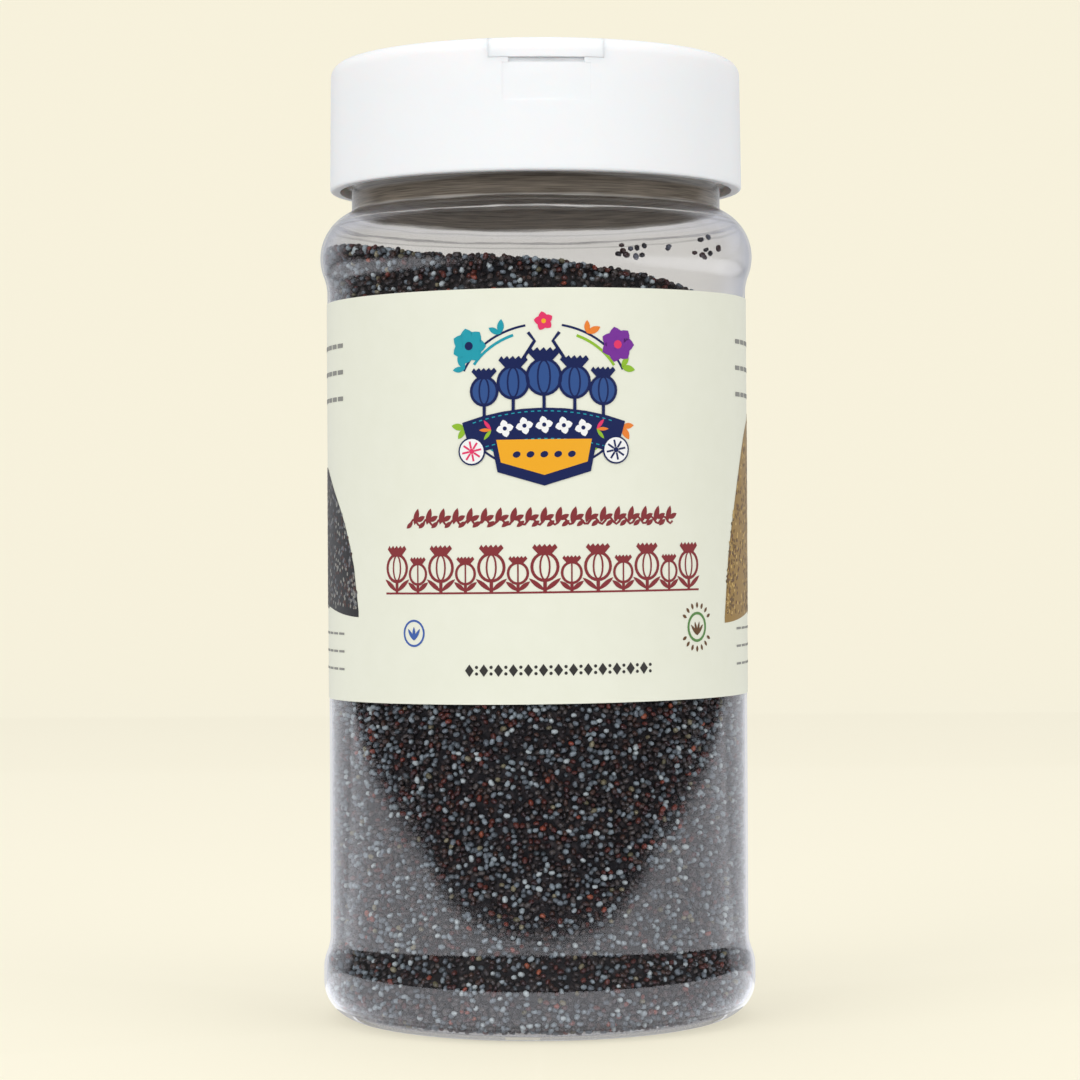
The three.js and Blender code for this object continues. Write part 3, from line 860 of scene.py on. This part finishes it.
def makePrint():
    drawRoundel(0, 46.8)
    drawBorders()
    drawSigns()
    drawSidePanels()
    sheet = bmesh.new()
    for ink, layer, outline in printed:
        corners = [sheet.verts.new((u * mm, v * mm, layer * labelSet["layer"])) for u, v in outline]
        face = sheet.faces.new(corners)
        face.material_index = ink
        face.normal_update()
        if face.normal.z < 0:
            face.normal_flip()
    bmesh.ops.triangulate(sheet, faces=sheet.faces)
    bmesh.ops.remove_doubles(sheet, verts=sheet.verts, dist=0.002 * mm)
    foldEvery = labelSet["foldEvery"]
    folds = int(labelSet["printReach"] / foldEvery)
    for k in range(-folds, folds + 1):
        everything = sheet.verts[:] + sheet.edges[:] + sheet.faces[:]
        bmesh.ops.bisect_plane(sheet, geom=everything, plane_co=(k * foldEvery, 0, 0), plane_no=(1, 0, 0))
    for vert in sheet.verts:
        u, v, lift = vert.co
        r = labelSet["outerR"] + labelSet["lift"] + lift
        vert.co = onLabel(r, labelSet["printTurn"] + u / labelSet["outerR"], v)
    mesh = bpy.data.meshes.new("mesh")
    sheet.to_mesh(mesh)
    sheet.free()
    piece = addObject("label_print", mesh, smooth=False)
    for name, code in inks.items():
        mesh.materials.append(printInk(name, code))
    slab = piece.modifiers.new("inkFilm", "SOLIDIFY")
    slab.thickness, slab.offset = labelSet["inkThickness"], -1
    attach(piece, "jar")
    print("label print", len(mesh.polygons), "faces")


def printInk(name, code):
    # Offset ink under a matt varnish: flat colour, a touch shinier than the paper
    return newMaterial(name, {"Base Color": linear(code), "Roughness": 0.4, "IOR": 1.48})[0]


makeLabelSheet()
makePrint()
print("label made")


cap = inMetres(
    bottom=133.5, bottomR=33.36, topR=33.15, edgeR=2.2, lipR=0.5, skirtR=31.75, deckBottom=148.5, deckTop=150,
    wellR=29.6, wellEdge=0.25, barWidth=8,
    plate=1.6, plateGap=0.14, hingeGap=0.3, tabGap=0.004, tabWidth=17.7, tabBottom=150.9, tabRootR=27.8,
    ledgeZ=150.86, nailWidth=11.7, nailZ=150.05, nailDepth=1.25,
    scoopWidth=13.6, scoopBottom=144.3, scoopDepth=0.12,
    holeR=1.6, holePitch=8, pegRootR=1.3, pegTipR=1, pegTipZ=149.6,
    spoonR=25.5, spoonChord=8, ribGap=0.5, ribWall=1.2, ribBottom=149.4,
    signDepth=0.25, signHoleR=0.75, signPitch=3.2, signRow=2.8, signY=17, signR=6.5, signChord=2, signLine=1,
    filmDepth=0.3, filmSink=0.03, filmLap=0.35, filmHalf=27.6, softEdge=0.08,
)
cap.update(top=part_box("cap_body")[1].z, turn=math.radians(3.1), segments=240, tightShare=0.05)
shakerRows = ((10 * mm, 4), (17 * mm, 3))


def mouldedPolypropylene():
    # Injection-moulded white polypropylene: milky, so light creeps into gaps, with a satin spark-eroded skin
    material, add, shader = newMaterial("mouldedPolypropylene", {
        "Base Color": linear("#FEFEFF"), "Roughness": 0.36, "IOR": 1.49,
        "Subsurface Weight": 0.4, "Subsurface Radius": (1.0, 0.7, 0.62), "Subsurface Scale": 2 * mm})
    place = add("ShaderNodeTexCoord").outputs["Object"]
    skin = add("ShaderNodeTexNoise", {"Vector": place, "Scale": 1500, "Detail": 3})
    sink = add("ShaderNodeTexNoise", {"Vector": place, "Scale": 90, "Detail": 1})
    both = add("ShaderNodeMath", {0: sink, 1: 3.0, 2: skin}, operation="MULTIPLY_ADD")
    bump = add("ShaderNodeBump", {"Height": both, "Strength": 0.1, "Distance": 0.04 * mm})
    gloss = add("ShaderNodeMapRange", {"Value": sink, "To Min": 0.32, "To Max": 0.4})
    fed(shader, {"Normal": bump, "Roughness": gloss})
    return material


white = mouldedPolypropylene()


def sideRange(side, near, far):
    # side is -1 at the front and 1 at the back
    return (near, far) if side > 0 else (-far, -near)


def block(x, y, z):
    verts = [(x[i], y[j], z[k]) for k in (0, 1) for j in (0, 1) for i in (0, 1)]
    faces = [(0, 2, 3, 1), (4, 5, 7, 6), (0, 1, 5, 4), (2, 6, 7, 3), (0, 4, 6, 2), (1, 3, 7, 5)]
    return addObject("block", meshOf(verts, faces))


def drum(outline, x=0, y=0, segments=None):
    mesh = revolved(outline, segments or cap["segments"])
    mesh.transform(Matrix.Translation((x, y, 0)))
    return addObject("drum", mesh)


def disc(radius, bottom, top, x=0, y=0, segments=None):
    return drum([(0, bottom), (radius, bottom), (radius, top), (0, top)], x, y, segments)


def settled(piece):
    # Makes what the piece's modifiers do a part of its mesh
    mesh = evaluated(piece)
    piece.modifiers.clear()
    piece.data = mesh
    return mesh


def joined(target, tool, operation):
    # Joins, cuts or intersects two closed bodies and uses up the second
    modifier = target.modifiers.new("join", "BOOLEAN")
    modifier.operation, modifier.solver, modifier.object = operation, "EXACT", tool
    settled(target)
    bpy.data.objects.remove(tool)
    return target


def halfDisc(side, radius, chordY, bottom, top):
    reach = radius + mm
    beyond = block((-reach, reach), sideRange(side, chordY, reach), (bottom - mm, top + mm))
    return joined(disc(radius, bottom, top), beyond, "INTERSECT")


def outward(side, width, yInner, z):
    return block((-width / 2, width / 2), sideRange(side, yInner, cap["bottomR"] + 2 * mm), z)


def capSide(inset=0.0):
    # The outside of the closed cap from its bottom edge to its top
    lip, edge = cap["lipR"], cap["edgeR"]
    return [
        *arc(cap["bottomR"] - lip - inset, cap["bottom"] + lip, lip, -90, 0, 8),
        *arc(cap["topR"] - edge - inset, cap["top"] - edge, edge, 0, 90, 16),
    ]


def capEnvelope():
    return drum([(0, cap["bottom"]), *capSide(), (0, cap["top"])])


def shakerPlaces(pitch, rows):
    return [((i - (count - 1) / 2) * pitch, -y) for y, count in rows for i in range(count)]


def cleaned(shape, near):
    # Merges what the joins and cuts left doubled, and drops slivers
    bmesh.ops.remove_doubles(shape, verts=shape.verts, dist=near)
    bmesh.ops.dissolve_degenerate(shape, edges=shape.edges, dist=near / 2)


def softened(piece):
    # Rounds the moulded edges; the door tabs fit too tight to show more than a hair line
    near, slack = 0.002 * mm, 0.1 * mm
    shape = bmesh.new()
    shape.from_mesh(piece.data)
    cleaned(shape, near)
    weight = shape.edges.layers.float.new("bevel_weight_edge")
    for edge in shape.edges:
        if len(edge.link_faces) == 2 and edge.calc_face_angle() > math.radians(38):
            x, y, z = (edge.verts[0].co + edge.verts[1].co) / 2
            across, half = abs(x), cap["tabWidth"] / 2
            atSide = half - slack < across < half + slack
            atFoot = across < half + slack and abs(z - cap["tabBottom"]) < slack
            tight = math.hypot(x, y) > cap["tabRootR"] and (atSide or atFoot)
            edge[weight] = cap["tightShare"] if tight else 1.0
    shape.to_mesh(piece.data)
    shape.free()
    soft = piece.modifiers.new("softEdge", "BEVEL")
    soft.width, soft.segments, soft.limit_method = cap["softEdge"], 2, "WEIGHT"
    mesh = settled(piece)
    shape = bmesh.new()
    shape.from_mesh(mesh)
    cleaned(shape, near / 4)
    shape.to_mesh(mesh)
    shape.free()


def finished(name, piece, body, nodes, edge=True):
    # Softens the edges, turns the piece to where the cap stopped, and names what it stands for
    if edge:
        softened(piece)
    mesh = piece.data
    mesh.transform(Matrix.Rotation(cap["turn"], 4, "Z"))
    mesh.shade_smooth()
    mesh.set_sharp_from_angle(angle=math.radians(30))
    # Broad faces keep their own normals, so the narrow rounded edges don't shade them
    piece.modifiers.new("broadNormals", "WEIGHTED_NORMAL").keep_sharp = True
    mesh = settled(piece)
    piece.name = mesh.name = name
    mesh.materials.clear()
    mesh.materials.append(white)
    if body:
        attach(piece, body)
    if nodes:
        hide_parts(*nodes)


def makeCapShell():
    edge = cap["wellEdge"]
    outline = [
        (0, cap["deckBottom"]), (cap["skirtR"], cap["deckBottom"]), (cap["skirtR"], cap["bottom"]),
        *capSide(),
        *arc(cap["wellR"] + edge, cap["top"] - edge, edge, 90, 180, 4),
        (cap["wellR"], cap["deckTop"]), (0, cap["deckTop"]),
    ]
    shell = drum(outline)
    reach, half = cap["wellR"] + 0.6 * mm, cap["barWidth"] / 2
    bar = block((-reach, reach), (-half, half), (cap["deckTop"] - 0.5 * mm, cap["top"]))
    joined(shell, bar, "UNION")
    clear = cap["top"] + mm
    for side in (-1, 1):
        wide = cap["tabWidth"] + 2 * cap["tabGap"]
        joined(shell, outward(side, wide, cap["tabRootR"], (cap["ledgeZ"], clear)), "DIFFERENCE")
        nailY = cap["topR"] - cap["nailDepth"]
        joined(shell, outward(side, cap["nailWidth"], nailY, (cap["nailZ"], clear)), "DIFFERENCE")
        scoop = outward(side, cap["scoopWidth"], cap["skirtR"], (cap["scoopBottom"], cap["nailZ"]))
        core = drum([(0, cap["bottom"]), *capSide(cap["scoopDepth"]), (0, cap["top"])])
        joined(scoop, core, "DIFFERENCE")
        joined(shell, scoop, "DIFFERENCE")
    below, above = cap["deckBottom"] - mm, cap["deckTop"] + mm
    for x, y in shakerPlaces(cap["holePitch"], shakerRows):
        joined(shell, disc(cap["holeR"], below, above, x, y, 40), "DIFFERENCE")
    joined(shell, halfDisc(1, cap["spoonR"], cap["spoonChord"], below, above), "DIFFERENCE")
    finished("cap_shell", shell, "jar", ["cap_body"])


def doorPlate(side):
    plateBottom = cap["top"] - cap["plate"]
    chord = cap["barWidth"] / 2 + cap["hingeGap"]
    plate = halfDisc(side, cap["wellR"] - cap["plateGap"], chord, plateBottom, cap["top"])
    reach = outward(side, cap["tabWidth"], 0, (cap["tabBottom"], cap["top"] + mm))
    tab = joined(capEnvelope(), reach, "INTERSECT")
    joined(tab, disc(cap["tabRootR"], cap["bottom"], cap["top"] + mm), "DIFFERENCE")
    return joined(plate, tab, "UNION")


def makeShakeDoor():
    # Its top carries a small sunk sign of the holes beneath
    door = doorPlate(-1)
    rows = ((cap["signY"] - cap["signRow"] / 2, 4), (cap["signY"] + cap["signRow"] / 2, 3))
    for x, y in shakerPlaces(cap["signPitch"], rows):
        dimple = disc(cap["signHoleR"], cap["top"] - cap["signDepth"], cap["top"] + mm, x, y, 24)
        joined(door, dimple, "DIFFERENCE")
    finished("shake_flap", door, "shake_door", ["shake_door"])


def makeSpoonDoor():
    # A rib under it plugs the spoon opening, and its top carries a sunk half-round
    door = doorPlate(1)
    plateBottom = cap["top"] - cap["plate"]
    gap, wall = cap["ribGap"], cap["ribWall"]
    ribR, ribChord = cap["spoonR"] - gap, cap["spoonChord"] + gap
    rib = halfDisc(1, ribR, ribChord, cap["ribBottom"], plateBottom + 0.5 * mm)
    hollow = halfDisc(1, ribR - wall, ribChord + wall, cap["ribBottom"] - mm, plateBottom)
    joined(rib, hollow, "DIFFERENCE")
    joined(door, rib, "UNION")
    low, chord, line = cap["top"] - cap["signDepth"], cap["signChord"], cap["signLine"]
    sign = halfDisc(1, cap["signR"], chord, low, cap["top"] + mm)
    inner = halfDisc(1, cap["signR"] - line, chord + line, low - mm, cap["top"] + 2 * mm)
    joined(sign, inner, "DIFFERENCE")
    sign.data.transform(Matrix.Translation((0, cap["signY"] - cap["signR"] / 2, 0)))
    joined(door, sign, "DIFFERENCE")
    finished("spoon_flap", door, "spoon_door", ["spoon_door"])


def pegTree():
    numbers = ("Tip Radius", "Root Radius", "Height")
    tree, add, given = newTree("pegsOnPoints", {**dict.fromkeys(numbers, "Float"), "Material": "Material"})
    peg = add("GeometryNodeMeshCone", {
        "Vertices": 32, "Radius Top": given["Root Radius"], "Radius Bottom": given["Tip Radius"],
        "Depth": given["Height"]})
    points = add("GeometryNodeMeshToPoints", {"Mesh": given["Geometry"]})
    placed = add("GeometryNodeInstanceOnPoints", {"Points": points, "Instance": peg})
    return endTree(tree, placed, given["Material"])


def makePegs():
    # One peg under the front door for each shaker hole
    spots = [(x, y, cap["pegTipZ"]) for x, y in shakerPlaces(cap["holePitch"], shakerRows)]
    places = addObject("pegPlaces", meshOf(spots))
    height = cap["top"] - cap["plate"] + 0.4 * mm - cap["pegTipZ"]
    pegs = grown("shaker_pegs", places, pegTree(), {
        "Tip Radius": cap["pegTipR"], "Root Radius": cap["pegRootR"], "Height": height, "Material": white})
    bpy.data.objects.remove(places)
    finished("shaker_pegs", pegs, "shake_door", [])


thread = inMetres(pitch=5, firstZ=138.4, root=2.6, crest=1.0, embed=0.3, neckCrestR=31.2, capCrestR=30.5)
thread.update(neckTurns=(0, 1.25), capTurns=(0.4, 1.5), runout=0.06)


def threadTree():
    # A trapezium swept along a helix, which rises from its wall and sinks back at both ends
    numbers = ("Turns", "Root Radius", "Rise", "Height", "Root", "Crest", "Profile Turn", "Runout")
    tree, add, given = newTree("ridgeOnHelix", {**dict.fromkeys(numbers, "Float"), "Material": "Material"})
    helix = add("GeometryNodeCurveSpiral", {
        "Resolution": 96, "Rotations": given["Turns"], "Start Radius": given["Root Radius"],
        "End Radius": given["Root Radius"], "Height": given["Rise"], "Reverse": True})
    upright = add("GeometryNodeSetCurveNormal", {"Curve": helix}, mode="Z_UP")
    along = add("GeometryNodeSplineParameter")
    rest = add("ShaderNodeMath", {0: 1.0, 1: along}, operation="SUBTRACT")
    toEnd = add("ShaderNodeMath", {0: along, 1: rest}, operation="MINIMUM")
    ease = add("ShaderNodeMath", {0: toEnd, 1: given["Runout"]}, operation="DIVIDE", use_clamp=True)
    full = add("ShaderNodeMath", {0: ease, 1: 0.8, 2: 0.2}, operation="MULTIPLY_ADD")
    section = add("GeometryNodeCurvePrimitiveQuadrilateral", {
        "Height": given["Height"], "Bottom Width": given["Root"], "Top Width": given["Crest"], "Offset": 0.0},
        mode="TRAPEZOID")
    half = add("ShaderNodeMath", {0: given["Height"], 1: 0.5}, operation="MULTIPLY")
    lift = add("ShaderNodeCombineXYZ", {"Y": half})
    footed = add("GeometryNodeTransform", {"Geometry": section, "Translation": lift})
    spin = add("ShaderNodeCombineXYZ", {"Z": given["Profile Turn"]})
    turned = add("GeometryNodeTransform", {"Geometry": footed, "Rotation": spin})
    swept = add("GeometryNodeCurveToMesh", {
        "Curve": upright, "Profile Curve": turned, "Scale": full, "Fill Caps": True})
    return endTree(tree, swept, given["Material"])


def threadRidge(name, wallR, crestR, turns, z, material):
    # The ridge starts a little inside its wall
    outwards = 1 if crestR > wallR else -1
    rootR = wallR - outwards * thread["embed"]
    start = addObject("threadStart", meshOf([(0, 0, 0)]))
    ridge = grown(name, start, threadTree(), {
        "Turns": turns[1] - turns[0], "Root Radius": rootR, "Rise": (turns[1] - turns[0]) * thread["pitch"],
        "Height": abs(crestR - rootR), "Root": thread["root"], "Crest": thread["crest"],
        "Profile Turn": -outwards * math.pi / 2, "Runout": thread["runout"], "Material": material})
    bpy.data.objects.remove(start)
    ridge.data.transform(Matrix.Translation((0, 0, z + turns[0] * thread["pitch"]))
                         @ Matrix.Rotation(2 * math.pi * turns[0], 4, "Z"))
    return ridge


def makeThreads():
    # A right-hand thread on the neck, and the cap's half a pitch below it
    petRidge = threadRidge("neck_thread", jar["neckR"], thread["neckCrestR"], thread["neckTurns"],
                           thread["firstZ"], bpy.data.materials["clearBlownPet"])
    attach(petRidge, "jar")
    capRidge = threadRidge("cap_thread", cap["skirtR"], thread["capCrestR"], thread["capTurns"],
                           thread["firstZ"] - thread["pitch"] / 2, white)
    finished("cap_thread", capRidge, "jar", [], edge=False)


def makeFilmHinges():
    # The thin strip of the same moulding that each door bends on
    near, far = cap["barWidth"] / 2, cap["barWidth"] / 2 + cap["hingeGap"]
    half, top, columns = cap["filmHalf"], cap["top"] - cap["filmSink"], 10
    low, inner, wide = top - cap["filmDepth"], near - cap["filmLap"], far - near + 2 * cap["filmLap"]
    for side, door, name in ((-1, "shake_door", "film_hinge_front"), (1, "spoon_door", "film_hinge_back")):
        sections = [[(x, side * (inner + wide * i / columns), z)
                     for x, z in ((-half, low), (half, low), (half, top), (-half, top))]
                    for i in range(columns + 1)]
        hinge = addObject("hinge", barMesh(sections[::side]))
        finished(name, hinge, None, [], edge=False)
        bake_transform(hinge)


makeCapShell()
makeShakeDoor()
makeSpoonDoor()
makePegs()
makeThreads()
makeFilmHinges()
print("cap made")


stageSet = {
    "sweepPaper": "#AEAA9A", "sweepGlow": "#F8F2DC", "sweepShare": 0.6, "world": 0.605,
    "tableGlow": ((1.0, 1.01, 1.03, 1), 1.28), "tableBackGlow": ((0.97, 0.98, 1.0, 1), 0.8),
    "backGlow": ((0.95, 0.97, 1.0, 1), 0.58), "frontGlow": ((1.0, 0.98, 0.95, 1), 0.09),
    "shadeGlow": ((0.95, 0.93, 0.92, 1), 0.5), "darkGlow": ((0.95, 0.97, 1.0, 1), 0.012), "shadeR": 0.0338,
    "domeR": 2.4, "brightHalfDeg": 56,
    "lamps": {
        "leftLight": ((-1.04, -1.07, 0.75), 1.1, 10.8),
        "rightLight": ((1.2, -0.94, 0.6), 1.1, 8.1),
        "topLight": ((0.0, -0.1, 1.6), 1.3, 3.9),
    },
    "seedLight": ((-0.14, -0.85, 0.28), 0.2, 2.8), "lampAim": (0, 0, 0.08),
}
# The lit table's outline from its front edge round to the back; behind it the table is dimmer
tableSide = [(0.0, 0.0), (0.0, -0.160), (0.30, -0.150), (0.50, 0.0), (0.64, 0.20), (0.9, 0.57)]
tableBack = [(0.0, 0.0), (0.9, 0.57), (1.3, 1.1), (-1.3, 1.1), (-0.9, 0.57)]


def stageCard(name, mesh, glow):
    # Only shows in reflections
    colour, strength = stageSet[glow]
    material, add, output = bareMaterial(name)
    fed(output, {"Surface": add("ShaderNodeEmission", {"Color": colour, "Strength": strength})})
    card = addObject(name, mesh, material)
    card.visible_camera = card.visible_diffuse = card.visible_shadow = card.visible_transmission = False


def flatCard(name, outline, height, glow):
    stageCard(name, meshOf([(x, y, height) for x, y in outline], [tuple(range(len(outline)))]), glow)


def makeSweep():
    material = newMaterial("paperSweep", {
        "Base Color": linear(stageSet["sweepPaper"]), "Roughness": 0.9,
        "Emission Color": linear(stageSet["sweepGlow"]), "Emission Strength": stageSet["sweepShare"]})[0]
    bend, bendStart, wallTop = 0.6, 0.9, 2.6
    path = [(-1.6, 0), *arc(bendStart, bend, bend, -90, 0, 16), (bendStart + bend, wallTop)]
    verts = [(x, y, z) for y, z in path for x in (-3, 3)]
    sweep = addObject("sweep", meshOf(verts, gridFaces(len(path) - 1, 1)), material)
    # The backdrop's cream is kept off the object
    sweep.visible_glossy = sweep.visible_diffuse = sweep.visible_shadow = False


def makeReflections():
    # Flat cards over the table, each a little above the one under it, and a dome in two parts round the jar
    flatCard("tableRight", tableSide, 0.2 * mm, "tableGlow")
    flatCard("tableLeft", [(-x, y) for x, y in reversed(tableSide)], 0.2 * mm, "tableGlow")
    flatCard("tableBack", tableBack, 0.2 * mm, "tableBackGlow")
    flatCard("shadeUnderJar", oval(stageSet["shadeR"], stageSet["shadeR"], steps=90), 0.3 * mm, "shadeGlow")
    flatCard("darkTable", [(-3, -3), (3, -3), (3, 3), (-3, 3)], 0.1 * mm, "darkGlow")
    bright, rows, columns = stageSet["brightHalfDeg"], 10, 24
    for name, fromDeg, toDeg, glow in (("backRoom", 90 - bright, 90 + bright, "backGlow"),
                                       ("frontRoom", 90 + bright, 450 - bright, "frontGlow")):
        turns = [math.radians(fromDeg + (toDeg - fromDeg) * j / columns) for j in range(columns + 1)]
        verts = [(r * math.cos(turn), r * math.sin(turn), z)
                 for r, z in arc(0, 0, stageSet["domeR"], 0, 90, rows) for turn in turns]
        stageCard(name, meshOf(verts, gridFaces(rows, columns)), glow)


def makeLights():
    world = bpy.data.worlds.new("world")
    bpy.context.scene.world = world
    world.use_nodes = True
    fed(world.node_tree.nodes["Background"], {"Color": (1, 1, 1, 1), "Strength": stageSet["world"]})
    for name, (place, size, power) in stageSet["lamps"].items():
        addLamp(name, place, size, power).visible_glossy = False
    # A small lamp that only the seed takes, for the point of light on each one
    takers = bpy.data.collections.new("seedTakers")
    for piece in bpy.data.objects:
        if piece.name.startswith("seed_"):
            takers.objects.link(piece)
    addLamp("seedLight", *stageSet["seedLight"]).light_linking.receiver_collection = takers


def addLamp(name, place, size, power):
    light = bpy.data.lights.new(name, "AREA")
    light.size, light.energy = size, power
    lamp = bpy.data.objects.new(name, light)
    bpy.context.scene.collection.objects.link(lamp)
    lamp.location = place
    aim = Vector(stageSet["lampAim"]) - Vector(place)
    lamp.rotation_euler = aim.to_track_quat("-Z", "Y").to_euler()
    return lamp


makeSweep()
makeReflections()
makeLights()
bpy.context.scene.view_settings.view_transform = "Standard"
print("stage made")
